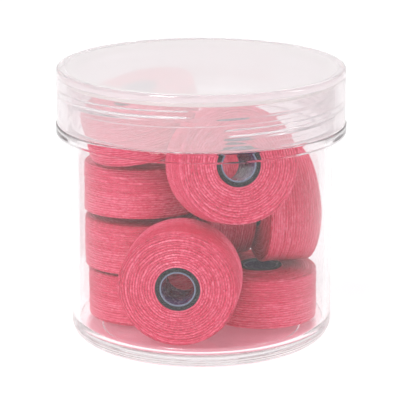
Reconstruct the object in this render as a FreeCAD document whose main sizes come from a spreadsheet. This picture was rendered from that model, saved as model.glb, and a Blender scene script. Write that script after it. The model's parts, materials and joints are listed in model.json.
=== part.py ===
"""Bobbin box: a round clear jar with a screw lid, a sealing ring and loose pre-wound bobbins.

Millimetres. +Z up. The origin is the middle of the jar's base, on the surface it stands on.
-Y is the front.
"""
import FreeCAD, Part
import os

import Sketcher

# Driving sizes and the sizes worked out from them. A value that starts with = is a formula.
# The places in BOBBINS were laid out for a bobbin of laid_out_diameter and laid_out_width, and
# there the bobbins reach pack_reach from the jar's axis and pack_height above its floor.
SIZES = [
    ("bobbin_diameter", "24.2"),
    ("bobbin_width", "10.6"),
    ("laid_out_diameter", "24.2"),
    ("laid_out_width", "10.6"),
    ("pack_reach", "25.3"),
    ("pack_height", "50.9"),
    ("side_room", "0.2"),
    ("head_room", "0.2"),
    ("bobbin_edge_round", "0.8"),
    ("core_diameter", "9.0"),
    ("core_bore", "7.2"),
    ("liner_bore", "6.6"),
    ("liner_recess", "0.1"),
    ("wall", "1.5"),
    ("floor_thickness", "2.5"),
    ("inner_corner", "2.0"),
    ("base_corner", "3.0"),
    ("base_recess_depth", "0.4"),
    ("base_recess_margin", "6.5"),
    ("neck_wall", "1.0"),
    ("neck_height", "8.75"),
    ("flange_height", "2.1"),
    ("flange_overhang", "0.2"),
    ("flange_gap", "0.15"),
    ("thread_lead", "4.0"),
    ("thread_depth", "0.9"),
    ("thread_root_width", "1.8"),
    ("thread_crest_width", "1.0"),
    ("thread_clearance", "0.3"),
    ("thread_first", "1.55"),
    ("thread_end_gap", "1.3"),
    ("thread_root_sink", "0.3"),
    ("lid_wall", "1.8"),
    ("lid_top", "1.65"),
    ("lid_thread_end_gap", "0.45"),
    ("lid_edge_round", "0.7"),
    ("seal_thickness", "0.95"),
    ("seal_gap", "0.05"),
    ("seal_width", "1.6"),
    ("seal_side_gap", "0.3"),
    ("small_round", "0.3"),
    ("pack_scale", "=max(bobbin_diameter / laid_out_diameter; bobbin_width / laid_out_width)"),
    ("jar_inner_radius", "=pack_reach * pack_scale + side_room"),
    ("jar_inner_height", "=pack_height * pack_scale + head_room"),
    ("jar_outer_radius", "=jar_inner_radius + wall"),
    ("neck_radius", "=jar_inner_radius + neck_wall"),
    ("mouth_height", "=floor_thickness + jar_inner_height"),
    ("flange_top", "=mouth_height - neck_height"),
    ("flange_bottom", "=flange_top - flange_height"),
    ("thread_crest_radius", "=neck_radius + thread_depth"),
    ("lid_inner_radius", "=thread_crest_radius + thread_clearance"),
    ("lid_thread_crest_radius", "=lid_inner_radius - thread_depth"),
    ("lid_radius", "=lid_inner_radius + lid_wall"),
    ("flange_radius", "=lid_radius + flange_overhang"),
    ("lid_bottom", "=flange_top + flange_gap"),
    ("seal_bottom", "=mouth_height + seal_gap"),
    ("lid_underside", "=seal_bottom + seal_thickness + seal_gap"),
    ("overall_height", "=lid_underside + lid_top"),
    ("seal_outer_radius", "=lid_inner_radius - seal_side_gap"),
    ("seal_inner_radius", "=seal_outer_radius - seal_width"),
    ("thread_middle", "=flange_top + thread_first"),
    ("lid_thread_middle", "=thread_middle + thread_lead / 2"),
    ("half_root", "=thread_root_width / 2"),
    ("half_crest", "=thread_crest_width / 2"),
    ("thread_rise", "=neck_height - thread_first - half_root - thread_end_gap"),
    ("lid_thread_top", "=seal_bottom - lid_thread_end_gap - half_root"),
    ("lid_thread_rise", "=lid_thread_top - lid_thread_middle"),
    ("liner_length", "=bobbin_width - 2 * liner_recess"),
]

# Where both threads start, in degrees about the jar's axis from +X.
THREAD_START = -83

FULL_TURN = 360

# Two edges this close are the same edge.
SAME = 0.001

# Each bobbin: name, middle (x, y, height above the jar's floor), then the azimuth and elevation
# of its axis in degrees. The places hold for a pack_scale of 1 and grow with it.
BOBBINS = [
    ("front_low", (-4.1, -14.9, 12.4), -96, 0),
    ("front_high", (5.8, -14.7, 36.8), -73, 13),
    ("left_first", (-11.9, 3.8, 5.7), 0, 90),
    ("left_second", (-12.7, 3.7, 16.7), 0, 90),
    ("left_third", (-12.7, 3.3, 28.2), 75, 87),
    ("left_top", (-12.2, -0.7, 42.6), -150, 75),
    ("right_low", (12.4, 2.1, 5.8), 0, 90),
    ("right_side", (16.5, 3.7, 23.9), 13, 0),
    ("middle", (3.9, 10.4, 23.5), 13, 0),
]

doc = FreeCAD.newDocument("bobbin_box")
parts = []


def make_sheet():
    """Write every size into the spreadsheet, each under its own name."""
    sheet = doc.addObject("Spreadsheet::Sheet", "Sizes")
    for row, (alias, content) in enumerate(SIZES, start=1):
        sheet.set(f"A{row}", alias)
        sheet.set(f"B{row}", content)
        sheet.setAlias(f"B{row}", alias)
    doc.recompute()
    return sheet


def bound(expression):
    """Put the sheet's name in front of every size in an expression."""
    text = ""
    for word in expression.split():
        text += ("Sizes." + word if word[0].isalpha() else word) + " "
    return text.strip()


def plane(body, role):
    return next(o for o in body.Origin.OriginFeatures if o.Role == role)


def make_profile(body, name, corners):
    """A closed outline in the XZ plane; each corner is a pair of expressions, radius and height."""
    sketch = body.newObject("Sketcher::SketchObject", name)
    sketch.AttachmentSupport = (plane(body, "XZ_Plane"), [""])
    sketch.MapMode = "FlatFace"
    spots = [FreeCAD.Vector(worth(r), worth(z), 0) for r, z in corners]
    count = len(corners)
    for i in range(count):
        sketch.addGeometry(Part.LineSegment(spots[i], spots[(i + 1) % count]), False)
    for i in range(count):
        sketch.addConstraint(Sketcher.Constraint("Coincident", i, 2, (i + 1) % count, 1))
    for i, (radius, height) in enumerate(corners):
        hold_corner(sketch, i, "DistanceX", -2, radius)
        hold_corner(sketch, i, "DistanceY", -1, height)
    return sketch


def hold_corner(sketch, line, kind, axis, expression):
    """Fix one coordinate of a line's start: on the axis where it is 0, else at its expression."""
    if expression == "0":
        sketch.addConstraint(Sketcher.Constraint("PointOnObject", line, 1, axis))
        return
    made = sketch.addConstraint(Sketcher.Constraint(kind, -1, 1, line, 1, worth(expression)))
    sketch.setExpression(f"Constraints[{made}]", bound(expression))


def worth(expression):
    """The present value of an expression made of sizes, + and -."""
    total = 0.0
    sign = 1
    for word in expression.split():
        if word in "+-":
            sign = 1 if word == "+" else -1
        else:
            total += sign * (float(word) if word[0].isdigit() else float(sheet.get(word)))
    return total


def revolve(body, name, corners):
    """Turn an outline into a solid of revolution about Z."""
    sketch = make_profile(body, name + "_outline", corners)
    turned = body.newObject("PartDesign::Revolution", name + "_turned")
    turned.Profile = sketch
    turned.ReferenceAxis = (sketch, ["V_Axis"])
    turned.Angle = FULL_TURN
    sketch.Visibility = False
    doc.recompute()
    return turned


def add_thread(body, name, root, crest, middle, rise):
    """A trapezium swept along a right-handed helix, rooted in the wall that carries it."""
    sketch = make_profile(body, name + "_tooth", [
        (root, middle + " - half_root"),
        (root, middle + " + half_root"),
        (crest, middle + " + half_crest"),
        (crest, middle + " - half_crest"),
    ])
    sketch.Visibility = False
    doc.recompute()
    helix = body.newObject("PartDesign::AdditiveHelix", name + "_helix")
    helix.Profile = sketch
    helix.ReferenceAxis = (sketch, ["V_Axis"])
    helix.Mode = 0
    helix.setExpression("Pitch", bound("thread_lead"))
    helix.setExpression("Height", bound(rise))
    helix.LeftHanded = False
    helix.Reversed = False
    doc.recompute()


def rim(shape, radius, height):
    """The name of the round edge about Z with this radius at this height."""
    for number, edge in enumerate(shape.Edges, start=1):
        curve = edge.Curve
        if not isinstance(curve, Part.Circle) or abs(edge.BoundBox.ZLength) > SAME:
            continue
        if abs(curve.Radius - radius) < SAME and abs(curve.Center.z - height) < SAME:
            return f"Edge{number}"
    raise ValueError(f"no round edge of radius {radius} at height {height}")


def round_rims(body, name, size, rims):
    """Fillet the round edges at these (radius, height) pairs of expressions."""
    base = body.Tip
    fillet = body.newObject("PartDesign::Fillet", name)
    fillet.Base = (base, [rim(base.Shape, worth(r), worth(z)) for r, z in rims])
    fillet.Radius = worth(size)
    fillet.setExpression("Radius", bound(size))
    doc.recompute()


def make_jar():
    """The clear jar: thick floor, straight wall, stop flange and a threaded neck."""
    body = doc.addObject("PartDesign::Body", "jar_body")
    recess = "jar_outer_radius - base_recess_margin"
    revolve(body, "jar", [
        ("0", "base_recess_depth"),
        (recess, "base_recess_depth"),
        (recess, "0"),
        ("jar_outer_radius", "0"),
        ("jar_outer_radius", "flange_bottom"),
        ("flange_radius", "flange_bottom"),
        ("flange_radius", "flange_top"),
        ("neck_radius", "flange_top"),
        ("neck_radius", "mouth_height"),
        ("jar_inner_radius", "mouth_height"),
        ("jar_inner_radius", "floor_thickness"),
        ("0", "floor_thickness"),
    ])
    round_rims(body, "jar_base_round", "base_corner", [("jar_outer_radius", "0")])
    round_rims(body, "jar_floor_round", "inner_corner", [("jar_inner_radius", "floor_thickness")])
    small = [("flange_radius", "flange_bottom"), ("flange_radius", "flange_top")]
    small += [("neck_radius", "mouth_height"), ("jar_inner_radius", "mouth_height")]
    round_rims(body, "jar_small_rounds", "small_round", small)
    add_thread(body, "jar_thread", "neck_radius - thread_root_sink", "thread_crest_radius",
               "thread_middle", "thread_rise")
    finish(body, "jar_body")
    body.Placement.Rotation = FreeCAD.Rotation(FreeCAD.Vector(0, 0, 1), THREAD_START)


def make_lid():
    """The clear lid: flat top, straight skirt, and a thread inside that meshes with the neck's."""
    body = doc.addObject("PartDesign::Body", "lid")
    revolve(body, "lid", [
        ("0", "lid_underside"),
        ("lid_inner_radius", "lid_underside"),
        ("lid_inner_radius", "lid_bottom"),
        ("lid_radius", "lid_bottom"),
        ("lid_radius", "overall_height"),
        ("0", "overall_height"),
    ])
    round_rims(body, "lid_top_round", "lid_edge_round", [("lid_radius", "overall_height")])
    small = [("lid_inner_radius", "lid_underside"), ("lid_radius", "lid_bottom")]
    round_rims(body, "lid_small_rounds", "small_round", small)
    add_thread(body, "lid_thread", "lid_inner_radius + thread_root_sink",
               "lid_thread_crest_radius", "lid_thread_middle", "lid_thread_rise")
    finish(body, "lid")
    body.Placement.Rotation = FreeCAD.Rotation(FreeCAD.Vector(0, 0, 1), THREAD_START)


def make_tube(label, outer, inner, length):
    """A plain tube about its own Z, centred on its own middle."""
    outside = doc.addObject("Part::Cylinder", label + "_outside")
    outside.setExpression("Radius", bound(outer) + " / 2")
    outside.setExpression("Height", bound(length))
    outside.setExpression("Placement.Base.z", "-" + bound(length) + " / 2")
    inside = doc.addObject("Part::Cylinder", label + "_inside")
    inside.setExpression("Radius", bound(inner) + " / 2")
    inside.setExpression("Height", bound(length) + " * 2")
    inside.setExpression("Placement.Base.z", "-" + bound(length))
    tube = doc.addObject("Part::Cut", label + "_tube")
    tube.Base = outside
    tube.Tool = inside
    doc.recompute()
    return tube


def make_seal():
    """The flat ring that lies between the jar's mouth and the lid."""
    ring = doc.addObject("PartDesign::Body", "lid_seal")
    revolve(ring, "lid_seal", [
        ("seal_inner_radius", "seal_bottom"),
        ("seal_outer_radius", "seal_bottom"),
        ("seal_outer_radius", "seal_bottom + seal_thickness"),
        ("seal_inner_radius", "seal_bottom + seal_thickness"),
    ])
    finish(ring, "lid_seal")


def make_bobbin(name, middle, azimuth, elevation):
    """Wound thread, the magnetic core ring it is wound on, and the tube that lines the core."""
    thread = make_tube(f"thread_{name}", "bobbin_diameter", "core_diameter", "bobbin_width")
    rounded = doc.addObject("Part::Fillet", f"thread_{name}_rounded")
    rounded.Base = thread
    radius = worth("bobbin_diameter") / 2
    half = worth("bobbin_width") / 2
    size = worth("bobbin_edge_round")
    rims = [rim(thread.Shape, radius, z) for z in (-half, half)]
    rounded.Edges = [(int(edge[4:]), size, size) for edge in rims]
    doc.recompute()
    core = make_tube(f"core_{name}", "core_diameter", "core_bore", "bobbin_width")
    liner = make_tube(f"liner_{name}", "core_bore", "liner_bore", "liner_length")
    for piece, kind in ((rounded, "thread"), (core, "core"), (liner, "liner")):
        place(piece, middle, azimuth, elevation)
        finish(piece, f"{kind}_{name}")


def place(piece, middle, azimuth, elevation):
    """Set a piece's middle, grown with the pack, and tip its own Z over to the given axis."""
    lean = FreeCAD.Rotation(FreeCAD.Vector(0, 1, 0), 90 - elevation)
    turn = FreeCAD.Rotation(FreeCAD.Vector(0, 0, 1), azimuth)
    piece.Placement.Rotation = turn.multiply(lean)
    across, along, height = (f"Sizes.pack_scale * {value}" for value in middle)
    piece.setExpression("Placement.Base.x", across)
    piece.setExpression("Placement.Base.y", along)
    piece.setExpression("Placement.Base.z", "Sizes.floor_thickness + " + height)


def finish(piece, label):
    """Name a finished sub-part and put it on the list of those that are written."""
    piece.Label = label
    parts.append(piece)


def check_everything():
    """Stop before writing anything if an object failed or a sub-part isn't a sound solid."""
    for thing in doc.Objects:
        if "Invalid" in thing.State or "Error" in thing.State:
            raise RuntimeError(f"{thing.Label} failed: {thing.State}")
    for piece in parts:
        shape = piece.Shape
        if shape.isNull() or not shape.isValid() or not shape.Solids:
            raise RuntimeError(f"{piece.Label} has no valid solid")


def write_parts():
    os.makedirs("parts", exist_ok=True)
    for piece in parts:
        piece.Shape.exportStep(f"parts/{piece.Label}.step")
        box = piece.Shape.BoundBox
        print(f"{piece.Label:24s} {piece.Shape.Volume:9.1f} mm3, solids {len(piece.Shape.Solids)}, "
              f"height {box.ZMin:6.2f} to {box.ZMax:6.2f}")


sheet = make_sheet()
make_jar()
make_lid()
make_seal()
for name, middle, azimuth, elevation in BOBBINS:
    make_bobbin(name, middle, azimuth, elevation)
doc.recompute()
check_everything()
write_parts()
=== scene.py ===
# %% [markdown]
# # A clear jar of pre-wound bobbins
#
# The object is a round jar of clear polystyrene with a screw lid. Inside lie sideless bobbins:
# pink thread wound on black magnetic core rings, each ring lined with a thin grey tube.
# The CAD frame already holds every piece at its true size and place. This script keeps those
# places and gives each piece the surface and the detail that a plain solid lacks.

# %% Load the frame
import json
import math

import bmesh
import bpy
import numpy as np
from mathutils import Matrix, Vector


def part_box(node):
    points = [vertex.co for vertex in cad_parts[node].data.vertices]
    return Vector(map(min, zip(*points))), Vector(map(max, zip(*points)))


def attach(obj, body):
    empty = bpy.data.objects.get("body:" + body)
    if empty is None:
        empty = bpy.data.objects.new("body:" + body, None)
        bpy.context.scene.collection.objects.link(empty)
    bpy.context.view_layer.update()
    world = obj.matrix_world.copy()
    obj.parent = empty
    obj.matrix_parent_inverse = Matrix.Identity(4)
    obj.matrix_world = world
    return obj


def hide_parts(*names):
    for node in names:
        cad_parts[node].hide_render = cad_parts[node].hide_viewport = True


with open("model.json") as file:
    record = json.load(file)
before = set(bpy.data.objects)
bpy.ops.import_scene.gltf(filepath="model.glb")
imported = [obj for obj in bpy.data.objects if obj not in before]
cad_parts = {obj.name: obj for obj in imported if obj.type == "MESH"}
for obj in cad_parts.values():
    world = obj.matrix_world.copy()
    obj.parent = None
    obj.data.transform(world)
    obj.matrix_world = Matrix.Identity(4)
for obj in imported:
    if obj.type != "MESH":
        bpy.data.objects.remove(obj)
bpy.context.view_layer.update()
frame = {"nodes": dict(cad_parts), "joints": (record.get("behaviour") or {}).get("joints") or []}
MM = 0.001
joints = {joint["name"]: joint for joint in frame["joints"]}
bobbin_names = [name[len("spin_"):] for name in joints if name.startswith("spin_")]

# %% [markdown]
# ## The camera
#
# A small object is best seen from well back through a long lens, which keeps its upright sides
# nearly parallel. The camera could be aimed with a constraint, but a plain place and a plain
# pitch are easier to read and to change. It looks down a little, so that the lid's top shows.

# %% Camera
CAMERA_PITCH = math.radians(15.06)
CAMERA_DISTANCE = 460 * MM
AIM_HEIGHT = 27.65 * MM

camera_data = bpy.data.cameras.new("camera")
camera_data.sensor_width = 36
camera_data.lens = 200.4
camera_data.shift_x = -0.003
camera_data.shift_y = 0.002
camera = bpy.data.objects.new("camera", camera_data)
bpy.context.scene.collection.objects.link(camera)
camera.location = (
    0,
    -CAMERA_DISTANCE * math.cos(CAMERA_PITCH),
    AIM_HEIGHT + CAMERA_DISTANCE * math.sin(CAMERA_PITCH),
)
camera.rotation_euler = (math.pi / 2 - CAMERA_PITCH, 0, 0)
bpy.context.scene.camera = camera
print("camera at", [round(v, 4) for v in camera.location])

# %% [markdown]
# ## Node helpers
#
# Every finish below is a small node tree. Two helpers keep those trees short: one starts a
# material with its main shader, and one adds a node with its inputs already filled in.

# %% Node helpers
def start_material(name, **settings):
    """A new material and its Principled shader, with the shader's own sockets set."""
    material = bpy.data.materials.new(name)
    material.use_nodes = True
    shader = material.node_tree.nodes["Principled BSDF"]
    for socket, value in settings.items():
        shader.inputs[socket.replace("_", " ").title().replace("Ior", "IOR")].default_value = value
    return material, shader


def add_node(tree, kind, settings=(), **inputs):
    """A node of this kind: settings are its options, inputs are values or sockets to link."""
    node = tree.nodes.new(kind)
    for option, value in dict(settings).items():
        setattr(node, option, value)
    for name, value in inputs.items():
        socket = node.inputs[int(name[1:])] if name[1:].isdigit() else node.inputs[name]
        if isinstance(value, bpy.types.NodeSocket):
            tree.links.new(value, socket)
        else:
            socket.default_value = value
    return node


def maths(tree, operation, first, second=0.0):
    """The result of one Math node."""
    return add_node(tree, "ShaderNodeMath", {"operation": operation}, _0=first, _1=second).outputs[0]


def ramp(tree, factor, stops):
    """Colours between stops, each a pair of a place from 0 to 1 and a colour."""
    node = add_node(tree, "ShaderNodeValToRGB", Fac=factor)
    elements = node.color_ramp.elements
    while len(elements) < len(stops):
        elements.new(0.5)
    for element, (place, colour) in zip(elements, stops):
        element.position = place
        element.color = (*colour, 1)
    return node.outputs["Color"]


print("helpers ready")

# %% [markdown]
# ## The studio
#
# Clear plastic shows only what it bends and mirrors, so the studio makes its look. The white floor
# glows most just round the jar, which clears the ground of shadow, as on a light table.
# Pink bobbins tint the thick clear base that they stand on. Tracing enough light to show that would
# be slow, so the floor itself is painted pink under the jar. This is a shortcut in the studio, and
# it is not part of the jar.

# %% Floor
FLOOR_RADIUS = 3.0
FLOOR_DROP = 0.05 * MM
GLOW_REACH = 60 * MM
JAR_FOOT = 0.395
CLEAR_OF_FOOT = 0.42

floor_mesh = bpy.data.meshes.new("studio_floor")
floor_shape = bmesh.new()
bmesh.ops.create_circle(floor_shape, cap_ends=True, segments=96, radius=FLOOR_RADIUS)
floor_shape.to_mesh(floor_mesh)
floor_shape.free()
floor = bpy.data.objects.new("studio_floor", floor_mesh)
floor.location.z = -FLOOR_DROP
bpy.context.scene.collection.objects.link(floor)
floor_material, floor_shader = start_material(
    "studio_white",
    roughness=0.9,
    emission_strength=1.0,
)
floor_tree = floor_material.node_tree
floor_place = add_node(floor_tree, "ShaderNodeTexCoord").outputs["Object"]
from_middle = add_node(floor_tree, "ShaderNodeVectorMath", {"operation": "LENGTH"}, _0=floor_place)
outwards = maths(floor_tree, "DIVIDE", from_middle.outputs["Value"], GLOW_REACH)
glow = ramp(floor_tree, outwards, [
    (JAR_FOOT, (0.34, 0.13, 0.17)),
    (CLEAR_OF_FOOT, (0.55, 0.55, 0.55)),
    (0.6, (0.45, 0.45, 0.45)),
    (1.0, (0.28, 0.28, 0.28)),
])
paint = ramp(floor_tree, outwards, [
    (JAR_FOOT, (0.64, 0.36, 0.41)),
    (CLEAR_OF_FOOT, (0.8, 0.8, 0.8)),
])
floor_tree.links.new(glow, floor_shader.inputs["Emission Color"])
floor_tree.links.new(paint, floor_shader.inputs["Base Color"])
floor_mesh.materials.append(floor_material)
print("floor radius", FLOOR_RADIUS, "m, glow reaches", GLOW_REACH / MM, "mm")

# %% [markdown]
# ## The surroundings
#
# The room could be an image of a sky, but five bands of grey do the same work and can be moved by
# hand. They are white near the horizon, greyer higher up, and bright again overhead. The grey bands
# draw the edges of the walls: in an evenly white room clear plastic would vanish.

# %% Surroundings
world = bpy.data.worlds.new("studio_world")
world.use_nodes = True
bpy.context.scene.world = world
world_tree = world.node_tree
direction = add_node(world_tree, "ShaderNodeTexCoord").outputs["Generated"]
height = add_node(world_tree, "ShaderNodeSeparateXYZ", Vector=direction).outputs["Z"]
sky_bands = [
    (0.0, (0.85, 0.85, 0.85)),
    (0.3, (0.95, 0.95, 0.95)),
    (0.42, (0.5, 0.5, 0.51)),
    (0.66, (0.5, 0.5, 0.51)),
    (0.82, (0.8, 0.8, 0.8)),
]
sky = ramp(world_tree, height, sky_bands)
world_shader = world_tree.nodes["Background"]
world_tree.links.new(sky, world_shader.inputs["Color"])
world_shader.inputs["Strength"].default_value = 1.0
bpy.context.scene.view_settings.view_transform = "Standard"
print("sky has", len(sky_bands), "bands")

# %% [markdown]
# ## The lamps
#
# A large lamp gives a soft edge to each shadow, and a point of light would not. The brightest stands
# up and to the left. A tall narrow one on the right puts a bright line on the wall, and a wide one
# behind lights the plastic from its far side.


# %% Lamps
def soft_lamp(name, place, size, power):
    """An oblong area lamp aimed at the middle of the jar."""
    data = bpy.data.lights.new(name, "AREA")
    data.shape = "RECTANGLE"
    data.size, data.size_y = size
    data.energy = power
    lamp = bpy.data.objects.new(name, data)
    bpy.context.scene.collection.objects.link(lamp)
    lamp.location = place
    aim = Vector((0, 0, AIM_HEIGHT)) - lamp.location
    lamp.rotation_euler = aim.to_track_quat("-Z", "Y").to_euler()
    return lamp


soft_lamp("key_lamp", (-0.3, -0.42, 0.6), (0.22, 0.22), 2.6)
soft_lamp("side_lamp", (0.55, -0.1, 0.25), (0.12, 0.45), 0.5)
soft_lamp("back_lamp", (0.1, 0.6, 0.45), (0.5, 0.2), 0.5)
print("three lamps")

# %% [markdown]
# ## Clear polystyrene
#
# The jar and its lid are clear mouldings, so they are real solids that bend light. The plastic's own
# index is 1.59, and the lid uses it. The jar's wall uses less, because a higher index mirrors more of
# the white floor, and that veil would hide the colour of the bobbins.
# A bent ray seldom finds a lamp, which would leave the bobbins dark and grainy. So rays from lamps,
# and rays that only carry soft light, pass straight through with a slight loss. What the eye looks
# at directly is still bent and mirrored.

# %% Clear material
POLYSTYRENE_INDEX = 1.59
JAR_INDEX = 1.44
RIPPLE_HEIGHT = 0.2 * MM


def clear_plastic(name, clearness, colour, index):
    """Moulded polystyrene with faint ripples from its mould; what isn't clear in it is milky."""
    material, shader = start_material(
        name,
        base_color=(*colour, 1),
        roughness=0.03,
        ior=index,
        transmission_weight=clearness,
    )
    tree = material.node_tree
    place = add_node(tree, "ShaderNodeTexCoord").outputs["Object"]
    ripple = add_node(tree, "ShaderNodeTexNoise", Vector=place, Scale=90.0, Detail=2.0)
    bump = add_node(
        tree, "ShaderNodeBump", Strength=0.05, Distance=RIPPLE_HEIGHT, Height=ripple.outputs["Fac"]
    )
    tree.links.new(bump.outputs["Normal"], shader.inputs["Normal"])
    path = add_node(tree, "ShaderNodeLightPath")
    straight = maths(tree, "MAXIMUM", path.outputs["Is Shadow Ray"], path.outputs["Is Diffuse Ray"])
    through = add_node(tree, "ShaderNodeBsdfTransparent", Color=(0.97, 0.97, 0.975, 1))
    mix = add_node(
        tree, "ShaderNodeMixShader", Fac=straight, _1=shader.outputs["BSDF"], _2=through.outputs["BSDF"]
    )
    tree.links.new(mix.outputs["Shader"], tree.nodes["Material Output"].inputs["Surface"])
    return material


jar_plastic = clear_plastic("clear_jar_plastic", 0.995, (0.935, 0.9, 0.91), JAR_INDEX)
skirt_plastic = clear_plastic("hazy_skirt_plastic", 0.8, (0.89, 0.835, 0.85), POLYSTYRENE_INDEX)
lid_top_plastic = clear_plastic(
    "hazy_lid_top_plastic", 0.62, (0.91, 0.86, 0.875), POLYSTYRENE_INDEX
)
print("three clear plastics")

# %% [markdown]
# ## Turning an outline
#
# Both mouldings are round, so each is a half outline turned about the upright axis. A Screw
# modifier could do that, but the threads must grow out of the wall itself: a separate coil would
# leave hidden faces inside the plastic, and clear plastic shows every one of them. So the outline
# is turned in code, and each point may be pushed in or out as it goes round.

# %% Outline helpers
ARC_STEP = math.radians(12)
SUPPORT = 0.12 * MM
SAME_POINT = 1e-7
NO_LENGTH = 1e-8


def rounded_outline(corners):
    """Outline points; each corner is (radius, height, rounding) and its rounding becomes an arc."""
    count = len(corners)
    spots = [Vector(corner[:2]) for corner in corners]
    runs = [spots[(i + 1) % count] - spots[i] for i in range(count)]
    halves = [(-runs[i - 1]).angle(runs[i]) / 2 for i in range(count)]
    reaches = [corner[2] / math.tan(half) for corner, half in zip(corners, halves)]
    points = []
    for i, (here, half, reach) in enumerate(zip(spots, halves, reaches)):
        rounding = corners[i][2]
        if rounding == 0:
            points.append(here)
            continue
        before = -runs[i - 1].normalized()
        after = runs[i].normalized()
        free_before = runs[i - 1].length - reach - reaches[i - 1]
        free_after = runs[i].length - reach - reaches[(i + 1) % count]
        centre = here + (before + after).normalized() * (rounding / math.sin(half))
        first = here + before * reach - centre
        last = here + after * reach - centre
        steps = max(2, round((math.pi - 2 * half) / ARC_STEP))
        points.append(here + before * (reach + min(SUPPORT, free_before / 3)))
        for k in range(steps + 1):
            points.append(centre + first.slerp(last, k / steps).normalized() * rounding)
        points.append(here + after * (reach + min(SUPPORT, free_after / 3)))
    return [(p.x, p.y) for p in points]


def divided(points, radius, low, high, longest):
    """The same outline with its upright run at this radius cut into short pieces."""
    result = []
    for (r0, z0), (r1, z1) in zip(points, points[1:] + points[:1]):
        result.append((r0, z0))
        upright = abs(r0 - radius) < SUPPORT / 10 and abs(r1 - radius) < SUPPORT / 10
        if upright and min(z0, z1) >= low and max(z0, z1) <= high:
            count = max(1, math.ceil(abs(z1 - z0) / longest))
            result += [(r0, z0 + (z1 - z0) * k / count) for k in range(1, count)]
    return result


def ring_mesh(name, places, columns, rows):
    """A mesh of quads that closes both ways: columns go round, and rows follow the outline."""
    column, row = np.meshgrid(np.arange(columns), np.arange(rows), indexing="ij")
    right = (column + 1) % columns
    down = (row + 1) % rows
    corners = [column * rows + row, right * rows + row, right * rows + down, column * rows + down]
    mesh = bpy.data.meshes.new(name)
    mesh.from_pydata(places.tolist(), [], np.stack(corners, -1).reshape(-1, 4).tolist())
    return mesh


def place_piece(name, mesh):
    """A smooth-shaded object for this mesh, put in the scene."""
    mesh.shade_smooth()
    piece = bpy.data.objects.new(name, mesh)
    bpy.context.scene.collection.objects.link(piece)
    return piece


def turned(name, outline, columns, push=None):
    """A closed mesh from a closed outline turned about Z; push gives each point's change of radius."""
    points = np.array(outline)
    rows = len(points)
    angle = np.linspace(0, 2 * math.pi, columns, endpoint=False)[:, None]
    radius = points[:, 0][None, :]
    height = points[:, 1][None, :] + 0 * angle
    radius = radius + (push(angle, radius, height) if push else 0 * angle)
    places = np.stack([radius * np.cos(angle), radius * np.sin(angle), height], -1).reshape(-1, 3)
    mesh = ring_mesh(name, places, columns, rows)
    shape = bmesh.new()
    shape.from_mesh(mesh)
    bmesh.ops.remove_doubles(shape, verts=shape.verts, dist=SAME_POINT)
    bmesh.ops.dissolve_degenerate(shape, edges=shape.edges, dist=NO_LENGTH)
    bmesh.ops.recalc_face_normals(shape, faces=shape.faces)
    shape.to_mesh(mesh)
    shape.free()
    print(f"{name}: {len(mesh.polygons)} faces")
    return place_piece(name, mesh)


# %% [markdown]
# ## The screw thread
#
# One rounded ridge climbs 4 mm for each turn, right-handed, on the neck and again inside the lid.
# A helix curve with a bevel is the usual way to draw one. Here it is a height instead: how far a
# point of the wall stands out, given its angle and its height. The ridge then blends into the
# wall like a real moulding, and fades out at its two ends.

# %% Thread shape
THREAD_START = math.radians(-83)
THREAD_LEAD = 4.0 * MM
THREAD_DEPTH = 0.9 * MM
HALF_ROOT = 0.85 * MM
HALF_CREST = 0.4 * MM
THREAD_FADE = math.radians(9)
TURN = 2 * math.pi


def smooth(x):
    x = np.clip(x, 0, 1)
    return x * x * (3 - 2 * x)


def ridge(angle, height, first_middle, rise):
    """How far the thread stands out at a point, from 0 on the wall to 1 on its crest."""
    end = rise / THREAD_LEAD * TURN
    best = 0 * angle * height
    for lap in range(math.ceil(end / TURN)):
        run = (angle - THREAD_START) % TURN + lap * TURN
        away = np.abs(height - first_middle - THREAD_LEAD * run / TURN)
        across = smooth((HALF_ROOT - away) / (HALF_ROOT - HALF_CREST))
        ends = smooth(run / THREAD_FADE) * smooth((end - run) / THREAD_FADE)
        best = np.maximum(best, across * ends)
    return best


print("thread lead", THREAD_LEAD / MM, "mm")

# %% [markdown]
# ## The jar
#
# The body is one moulding: a thick floor with a shallow recess under it, a straight wall, a stop
# flange for the lid to close against, and the threaded neck. A small round mark under the floor
# is left where the plastic entered the mould.

# %% Jar sizes
jar_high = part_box("jar_body")[1]
lid_low, lid_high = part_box("lid")
FLANGE_OVERHANG = 0.2 * MM
LID_WALL = 1.8 * MM
THREAD_CLEARANCE = 0.3 * MM
NECK_WALL = 1.0 * MM
JAR_WALL = 1.5 * MM
FLOOR_THICKNESS = 2.5 * MM
NECK_HEIGHT = 8.75 * MM
FLANGE_HEIGHT = 2.1 * MM
RECESS_DEPTH = 0.4 * MM
RECESS_MARGIN = 6.5 * MM
SMALL_ROUND = 0.3 * MM

mouth = jar_high.z
flange_radius = jar_high.x
lid_radius = flange_radius - FLANGE_OVERHANG
lid_inner = lid_radius - LID_WALL
neck_radius = lid_inner - THREAD_CLEARANCE - THREAD_DEPTH
jar_inner = neck_radius - NECK_WALL
jar_outer = jar_inner + JAR_WALL
flange_top = mouth - NECK_HEIGHT
flange_bottom = flange_top - FLANGE_HEIGHT
print("jar inner radius", round(jar_inner / MM, 2), "mouth", round(mouth / MM, 2))

# %% Jar body
GATE_RADIUS = 1.1 * MM
GATE_HEIGHT = 0.2 * MM
THREAD_FIRST = 1.55 * MM
JAR_THREAD_RISE = 5.0 * MM
ROW_HEIGHT = 0.09 * MM
JAR_COLUMNS = 300

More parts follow.
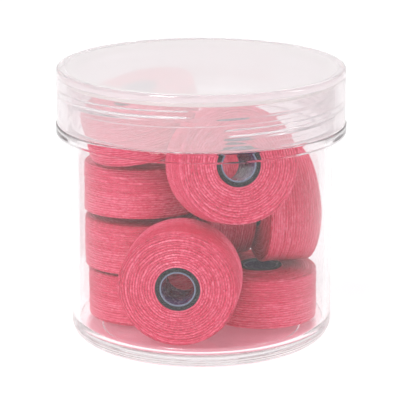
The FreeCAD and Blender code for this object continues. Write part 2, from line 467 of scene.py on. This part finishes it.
recess = jar_outer - RECESS_MARGIN
jar_outline = rounded_outline([
    (0, RECESS_DEPTH - GATE_HEIGHT, 0),
    (GATE_RADIUS, RECESS_DEPTH - GATE_HEIGHT, 0.08 * MM),
    (GATE_RADIUS, RECESS_DEPTH, 0.06 * MM),
    (recess, RECESS_DEPTH, 0.12 * MM),
    (recess, 0, 0.2 * MM),
    (jar_outer, 0, 3.0 * MM),
    (jar_outer, flange_bottom, 0.15 * MM),
    (flange_radius, flange_bottom, SMALL_ROUND),
    (flange_radius, flange_top, SMALL_ROUND),
    (neck_radius, flange_top, 0.15 * MM),
    (neck_radius, mouth, SMALL_ROUND),
    (jar_inner, mouth, SMALL_ROUND),
    (jar_inner, FLOOR_THICKNESS, 2.0 * MM),
    (0, FLOOR_THICKNESS, 0),
])
jar_outline = divided(jar_outline, neck_radius, flange_top, mouth, ROW_HEIGHT)


def push_neck(angle, radius, height):
    """The neck's thread stands out of its wall."""
    on_neck = np.abs(radius - neck_radius) < SUPPORT / 10
    return THREAD_DEPTH * on_neck * ridge(angle, height, flange_top + THREAD_FIRST, JAR_THREAD_RISE)


jar = turned("jar_moulding", jar_outline, JAR_COLUMNS, push_neck)
jar.data.materials.append(jar_plastic)
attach(jar, "jar")
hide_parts("jar_body")

# %% [markdown]
# ## The lid
#
# The lid is a shallow cap with a flat top and a straight skirt. Its skirt carries the matching
# thread inside, which lies half a lead above the neck's, so the two never touch. Light meets the
# flat top at a glancing angle and the skirt head on, so the top looks mistier. It gets its own,
# milkier plastic.

# %% Lid
LID_TOP = 1.65 * MM
LID_THREAD_RISE = 3.9 * MM
LID_EDGE_ROUND = 0.7 * MM
NEARLY_FLAT = 0.9

lid_underside = lid_high.z - LID_TOP
lid_outline = rounded_outline([
    (0, lid_underside, 0),
    (lid_inner, lid_underside, SMALL_ROUND),
    (lid_inner, lid_low.z, 0.15 * MM),
    (lid_radius, lid_low.z, SMALL_ROUND),
    (lid_radius, lid_high.z, LID_EDGE_ROUND),
    (0, lid_high.z, 0),
])
lid_outline = divided(lid_outline, lid_inner, lid_low.z, lid_underside, ROW_HEIGHT)


def push_skirt(angle, radius, height):
    """The lid's thread stands inwards from its skirt."""
    on_skirt = np.abs(radius - lid_inner) < SUPPORT / 10
    first = flange_top + THREAD_FIRST + THREAD_LEAD / 2
    return -THREAD_DEPTH * on_skirt * ridge(angle, height, first, LID_THREAD_RISE)


lid = turned("lid_moulding", lid_outline, JAR_COLUMNS, push_skirt)
lid.data.materials.append(skirt_plastic)
lid.data.materials.append(lid_top_plastic)
for face in lid.data.polygons:
    if abs(face.normal.z) > NEARLY_FLAT and face.center.z > lid_underside - SUPPORT:
        face.material_index = 1
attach(lid, "lid")
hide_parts("lid")

# %% [markdown]
# ## The sealing ring
#
# A flat ring of soft, milky plastic lies on the mouth of the jar. Its edges are rounded, because
# such rings are moulded soft, and light passes some way into it, which keeps it pale.

# %% Sealing ring
SEAL_WIDTH = 1.6 * MM
SEAL_ROUND = 0.25 * MM
SEAL_COLUMNS = 200

seal_low, seal_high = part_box("lid_seal")
seal_outer = seal_high.x
seal_ring = turned("sealing_ring", rounded_outline([
    (seal_outer - SEAL_WIDTH, seal_low.z, SEAL_ROUND),
    (seal_outer, seal_low.z, SEAL_ROUND),
    (seal_outer, seal_high.z, SEAL_ROUND),
    (seal_outer - SEAL_WIDTH, seal_high.z, SEAL_ROUND),
]), SEAL_COLUMNS)
seal_material, seal_shader = start_material(
    "milky_seal",
    base_color=(0.9, 0.87, 0.83, 1),
    roughness=0.45,
    ior=1.5,
    transmission_weight=0.55,
)
seal_tree = seal_material.node_tree
seal_grain = add_node(
    seal_tree,
    "ShaderNodeTexNoise",
    Vector=add_node(seal_tree, "ShaderNodeTexCoord").outputs["Object"],
    Scale=900.0,
)
seal_bump = add_node(
    seal_tree, "ShaderNodeBump", Strength=0.15, Distance=0.05 * MM, Height=seal_grain.outputs["Fac"]
)
seal_tree.links.new(seal_bump.outputs["Normal"], seal_shader.inputs["Normal"])
seal_ring.data.materials.append(seal_material)
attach(seal_ring, "seal")
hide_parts("lid_seal")

# %% [markdown]
# ## Measuring a bobbin
#
# Every bobbin spins about its own axis, and the frame gives that axis and the bobbin's middle.
# The radius and half width of each of its pieces are read from the CAD piece itself, so nothing
# here repeats a size that the frame already holds.

# %% Measure the bobbin pieces
def tube_size(node, joint):
    """Outer radius, inner radius and half length of a tube about its joint's axis."""
    mesh = frame["nodes"][node].data
    places = np.empty(len(mesh.vertices) * 3, np.float32)
    mesh.vertices.foreach_get("co", places)
    away = places.reshape(-1, 3).astype(float) - np.array(joint["pos_m"])
    along = away @ np.array(joint["axis"])
    radius = np.sqrt((away ** 2).sum(1) - along ** 2)
    return float(radius.max()), float(radius.min()), float(np.abs(along).max())


first_spin = joints["spin_" + bobbin_names[0]]
thread_outer, thread_inner, half_width = tube_size("thread_" + bobbin_names[0], first_spin)
core_outer, core_inner, core_half = tube_size("core_" + bobbin_names[0], first_spin)
liner_outer, liner_inner, liner_half = tube_size("liner_" + bobbin_names[0], first_spin)
print("thread radius", round(thread_outer / MM, 2), "core", round(core_outer / MM, 2),
      "liner", round(liner_inner / MM, 2), "half width", round(half_width / MM, 2))

# %% [markdown]
# ## The wound thread
#
# The thread could be a real helix of some tens of metres, but that is millions of faces for
# something finer than a hair. Instead one line runs across the flat side, round the shoulder,
# along the rim and back again. It rises and falls once for each turn of thread, and that line is
# turned about the axis. Each turn sits a little high or low, turns bunch into bands, and the
# whole wanders slightly on its way round, so no two bobbins are quite the same.

# %% Winding
TURN_PITCH = 0.5 * MM
POINTS_PER_TURN = 5
SHOULDER = 0.6 * MM
GROOVE = 0.2 * MM
TURN_SPREAD = 0.12 * MM
BAND_SPREAD = 0.14 * MM
TURNS_PER_BAND = 5
WANDER = 0.06 * MM
WAVES_ROUND = (1, 2, 3, 5, 8, 13)
TURNS_PER_WAVE = 9
WINDING_COLUMNS = 168


def winding_path():
    """Points across one face, round both shoulders and back, with the way each one faces."""
    places, facing = [], []
    step = TURN_PITCH / POINTS_PER_TURN
    face = np.arange(thread_inner, thread_outer - SHOULDER, step)
    side = np.arange(-(half_width - SHOULDER), half_width - SHOULDER, step)
    arc = np.linspace(0, math.pi / 2, max(3, round(SHOULDER * math.pi / 2 / step)))[:-1]
    for r in face:
        places.append((r, -half_width))
        facing.append((0, -1))
    for sign, sweep in ((-1, arc), (1, math.pi / 2 - arc)):
        for bend in sweep:
            out = (math.sin(bend), sign * math.cos(bend))
            places.append((thread_outer - SHOULDER + SHOULDER * out[0],
                           sign * (half_width - SHOULDER) + SHOULDER * out[1]))
            facing.append(out)
        if sign < 0:
            for z in side:
                places.append((thread_outer, z))
                facing.append((1, 0))
    for r in face[::-1]:
        places.append((r, half_width))
        facing.append((0, 1))
    return np.array(places), np.array(facing)


def wind(name, seed):
    """The thread of one bobbin as a closed mesh about Z, centred on the origin."""
    chance = np.random.default_rng(seed)
    places, facing = winding_path()
    number = np.arange(len(places))
    turn = number // POINTS_PER_TURN
    crest = np.abs(np.sin(math.pi * (number % POINTS_PER_TURN + 0.5) / POINTS_PER_TURN))
    turns = turn.max() + 1
    sink = GROOVE * (1 - crest) + chance.uniform(0, TURN_SPREAD, turns)[turn]
    band = chance.uniform(0, BAND_SPREAD, turns // TURNS_PER_BAND + 2)
    sink = sink + np.interp(turn, np.arange(len(band)) * TURNS_PER_BAND, band)
    angle = np.linspace(0, TURN, WINDING_COLUMNS, endpoint=False)[:, None]
    drift = 0 * angle * number
    marks = np.arange(0, turns + TURNS_PER_WAVE, TURNS_PER_WAVE)
    for waves in WAVES_ROUND:
        phase = np.interp(turn, marks, chance.uniform(0, TURN, len(marks)))
        drift = drift + np.sin(waves * angle + phase) / waves ** 0.7
    wobble = chance.uniform(-1, 1, turns)[turn] * np.sin(angle * chance.integers(1, 6, turns)[turn] + phase)
    depth = sink + WANDER * 0.25 * (drift + 1.5 * wobble)
    radius = places[:, 0] - facing[:, 0] * depth + 0.35 * WANDER * np.abs(facing[:, 1]) * drift
    height = places[:, 1] - facing[:, 1] * depth
    radius = np.maximum(radius, thread_inner)
    mesh_points = np.stack([radius * np.cos(angle), radius * np.sin(angle), height], -1).reshape(-1, 3)
    return place_piece(name, ring_mesh(name, mesh_points, WINDING_COLUMNS, len(places)))


print("winding line has", len(winding_path()[0]), "points")

# %% [markdown]
# ## The thread's finish
#
# Filament thread is dyed right through and slightly glossy. Light catches it in short streaks
# that follow the turns. The roughness varies with those streaks, and so does the colour, partly as
# the thread's own uneven tone and partly as painted highlights; both vary quickly across the turns
# and slowly along them. A dark line of painted shade marks the groove between two turns. The flat
# faces, where the turns stand on edge, show those lines more than the rim does, so the contrast is
# higher there. The rim's colour is also painted a little lighter, as a painted sheen. The shader's
# sheen gives the soft pale edge that fine fibres have.

# %% Thread material
def thread_finish(name):
    """Pink filament thread: streaks that run round the bobbin's own axis."""
    material, shader = start_material(
        name,
        sheen_weight=0.04,
        sheen_roughness=0.4,
        sheen_tint=(1.0, 0.55, 0.62, 1),
        specular_ior_level=0.4,
    )
    tree = material.node_tree
    place = add_node(tree, "ShaderNodeTexCoord").outputs["Object"]
    parts = add_node(tree, "ShaderNodeSeparateXYZ", Vector=place)
    flat = add_node(tree, "ShaderNodeCombineXYZ", X=parts.outputs["X"], Y=parts.outputs["Y"])
    length = add_node(tree, "ShaderNodeVectorMath", {"operation": "LENGTH"}, _0=flat.outputs[0])
    radius = length.outputs["Value"]
    spoke = add_node(tree, "ShaderNodeVectorMath", {"operation": "NORMALIZE"}, _0=flat.outputs[0])
    around = add_node(tree, "ShaderNodeSeparateXYZ", Vector=spoke.outputs[0])
    reach = maths(tree, "ADD", radius, maths(tree, "ABSOLUTE", parts.outputs["Z"]))

    def streaks(cells_around, cells_across, detail):
        """Noise stretched along the turns: few cells around make long lines, many make dashes."""
        spot = add_node(
            tree,
            "ShaderNodeCombineXYZ",
            X=maths(tree, "MULTIPLY", around.outputs["X"], cells_around),
            Y=maths(tree, "MULTIPLY", around.outputs["Y"], cells_around),
            Z=maths(tree, "MULTIPLY", reach, cells_across),
        ).outputs[0]
        return add_node(tree, "ShaderNodeTexNoise", Vector=spot, Scale=1.0, Detail=detail).outputs["Fac"]

    lines = streaks(2.2, 1500.0, 1.0)
    dashes = streaks(17.0, 2500.0, 2.0)
    from_core = maths(tree, "SUBTRACT", reach, half_width + thread_inner)
    drift = maths(tree, "MULTIPLY", lines, 0.9)
    turn = maths(tree, "ADD", maths(tree, "DIVIDE", from_core, TURN_PITCH), drift)
    # Painted shade: this value is low near each whole turn, and the ramp below makes that a dark line in
    # the groove between two turns.
    groove = maths(tree, "PINGPONG", turn, 0.5)
    fibres = add_node(tree, "ShaderNodeTexNoise", Vector=place, Scale=2400.0, Detail=2.0, Roughness=0.6)
    mix = maths(tree, "ADD", maths(tree, "MULTIPLY", groove, 0.6), maths(tree, "MULTIPLY", dashes, 0.5))
    mix = maths(tree, "ADD", mix, maths(tree, "MULTIPLY", fibres.outputs["Fac"], 0.25))
    off_middle = maths(tree, "ABSOLUTE", parts.outputs["Z"])
    rim_edge = half_width - SHOULDER
    contrast = add_node(
        tree, "ShaderNodeMapRange", Value=off_middle, _1=rim_edge, _2=half_width, _3=0.5, _4=0.85
    )
    # Painted sheen: this moves the rim's colour up the ramp, so the rim looks lighter than the flat faces.
    painted_rim_sheen = add_node(
        tree, "ShaderNodeMapRange", Value=off_middle, _1=rim_edge, _2=half_width, _3=0.575, _4=0.515
    )
    mix = maths(tree, "MULTIPLY", maths(tree, "SUBTRACT", mix, 0.52), contrast.outputs["Result"])
    mix = maths(tree, "ADD", mix, painted_rim_sheen.outputs["Result"])
    # The ramp runs from painted groove shade (the darkest stop) through the thread's own pink to painted
    # highlights (the palest stop).
    colour = ramp(tree, mix, [
        (0.36, (0.34, 0.006, 0.03)),
        (0.46, (0.6, 0.02, 0.068)),
        (0.57, (0.75, 0.038, 0.12)),
        (0.69, (0.96, 0.22, 0.33)),
    ])
    tree.links.new(colour, shader.inputs["Base Color"])
    gloss = add_node(tree, "ShaderNodeMapRange", Value=mix, _1=0.42, _2=0.68, _3=0.6, _4=0.26)
    tree.links.new(gloss.outputs["Result"], shader.inputs["Roughness"])
    bump = add_node(tree, "ShaderNodeBump", Strength=0.8, Distance=0.12 * MM, Height=mix)
    tree.links.new(bump.outputs["Normal"], shader.inputs["Normal"])
    return material


thread_material = thread_finish("pink_filament")
print("thread finish ready")

# %% [markdown]
# ## Core ring and liner
#
# The core is a ring of bonded magnet: matt, nearly black and finely speckled. The liner is a thin
# glossy tube pressed into it. Its cut ends catch the light as a pale line, and that line is painted
# into its colour at the ends as a painted highlight.

# %% Core and liner finishes
def core_finish():
    """Matt black bonded magnet with a fine speckle."""
    material, shader = start_material("black_bonded_magnet", roughness=0.7, specular_ior_level=0.2)
    tree = material.node_tree
    place = add_node(tree, "ShaderNodeTexCoord").outputs["Object"]
    speckle = add_node(tree, "ShaderNodeTexNoise", Vector=place, Scale=2200.0, Detail=3.0)
    colour = ramp(tree, speckle.outputs["Fac"], [
        (0.35, (0.01, 0.01, 0.011)),
        (0.6, (0.02, 0.02, 0.021)),
        (0.75, (0.06, 0.058, 0.06)),
    ])
    tree.links.new(colour, shader.inputs["Base Color"])
    bump = add_node(tree, "ShaderNodeBump", Strength=0.3, Distance=0.04 * MM, Height=speckle.outputs["Fac"])
    tree.links.new(bump.outputs["Normal"], shader.inputs["Normal"])
    return material


def liner_finish():
    """Glossy grey-lavender tube, with a painted highlight along its cut ends."""
    material, shader = start_material(
        "grey_liner", ior=1.5, specular_ior_level=0.4, coat_weight=0.15, coat_roughness=0.1
    )
    tree = material.node_tree
    place = add_node(tree, "ShaderNodeTexCoord").outputs["Object"]
    parts = add_node(tree, "ShaderNodeSeparateXYZ", Vector=place)
    end = maths(tree, "DIVIDE", maths(tree, "ABSOLUTE", parts.outputs["Z"]), liner_half)
    # The palest stop, at the ends, is a painted highlight on the tube's cut edges.
    colour = ramp(tree, end, [
        (0.0, (0.06, 0.035, 0.12)),
        (0.93, (0.085, 0.055, 0.17)),
        (0.985, (0.2, 0.23, 0.32)),
    ])
    tree.links.new(colour, shader.inputs["Base Color"])
    cloud = add_node(tree, "ShaderNodeTexNoise", Vector=place, Scale=500.0, Detail=2.0)
    haze = add_node(
        tree, "ShaderNodeMapRange", Value=cloud.outputs["Fac"], _1=0.3, _2=0.7, _3=0.16, _4=0.34
    )
    tree.links.new(haze.outputs["Result"], shader.inputs["Roughness"])
    return material


core_material = core_finish()
liner_material = liner_finish()
print("core and liner finishes ready")

# %% [markdown]
# ## The bobbins
#
# All the bobbins are alike, so one loop makes them. Each piece is built about its own upright
# axis and then tipped into place, because the finishes read that own axis to lay their streaks.

# %% Bobbins
CORE_ROUND = 0.18 * MM
LINER_LIP = 0.08 * MM
TUBE_COLUMNS = 96


def tube_outline(outer, inner, half, rounding):
    """The half outline of a tube about Z, with all four of its corners rounded."""
    return rounded_outline([
        (inner, -half, rounding),
        (outer, -half, rounding),
        (outer, half, rounding),
        (inner, half, rounding),
    ])


def seat(piece, joint):
    """Tip a piece that was built about Z onto the joint's axis, at the joint's middle."""
    tip = Vector((0, 0, 1)).rotation_difference(Vector(joint["axis"])).to_matrix().to_4x4()
    piece.matrix_world = Matrix.Translation(joint["pos_m"]) @ tip


for seed, name in enumerate(bobbin_names, start=1):
    spin = joints["spin_" + name]
    winding = wind("winding_" + name, seed)
    winding.data.materials.append(thread_material)
    core_line = tube_outline(core_outer, core_inner, core_half, CORE_ROUND)
    ring = turned("core_ring_" + name, core_line, TUBE_COLUMNS)
    ring.data.materials.append(core_material)
    liner_line = tube_outline(liner_outer, liner_inner, liner_half, LINER_LIP)
    liner = turned("liner_tube_" + name, liner_line, TUBE_COLUMNS)
    liner.data.materials.append(liner_material)
    for piece, slot, node in (
        (winding, "pink_thread", "thread_"),
        (ring, "black_magnet", "core_"),
        (liner, "grey_tube", "liner_"),
    ):
        seat(piece, spin)
        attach(piece, "bobbin_" + name)
        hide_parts(node + name)
print(len(bobbin_names), "bobbins")

# %% [markdown]
# ## Light bounces
#
# A line of sight may cross the lid, the neck and both again on the far side before it reaches the
# floor. Each wall is two surfaces, so the default limits would turn some of those lines black.

# %% Bounces and finish
MOST_BOUNCES = 32

bpy.context.scene.cycles.max_bounces = MOST_BOUNCES
bpy.context.scene.cycles.transmission_bounces = MOST_BOUNCES
bpy.context.scene.cycles.glossy_bounces = MOST_BOUNCES
bpy.context.scene.cycles.transparent_max_bounces = MOST_BOUNCES
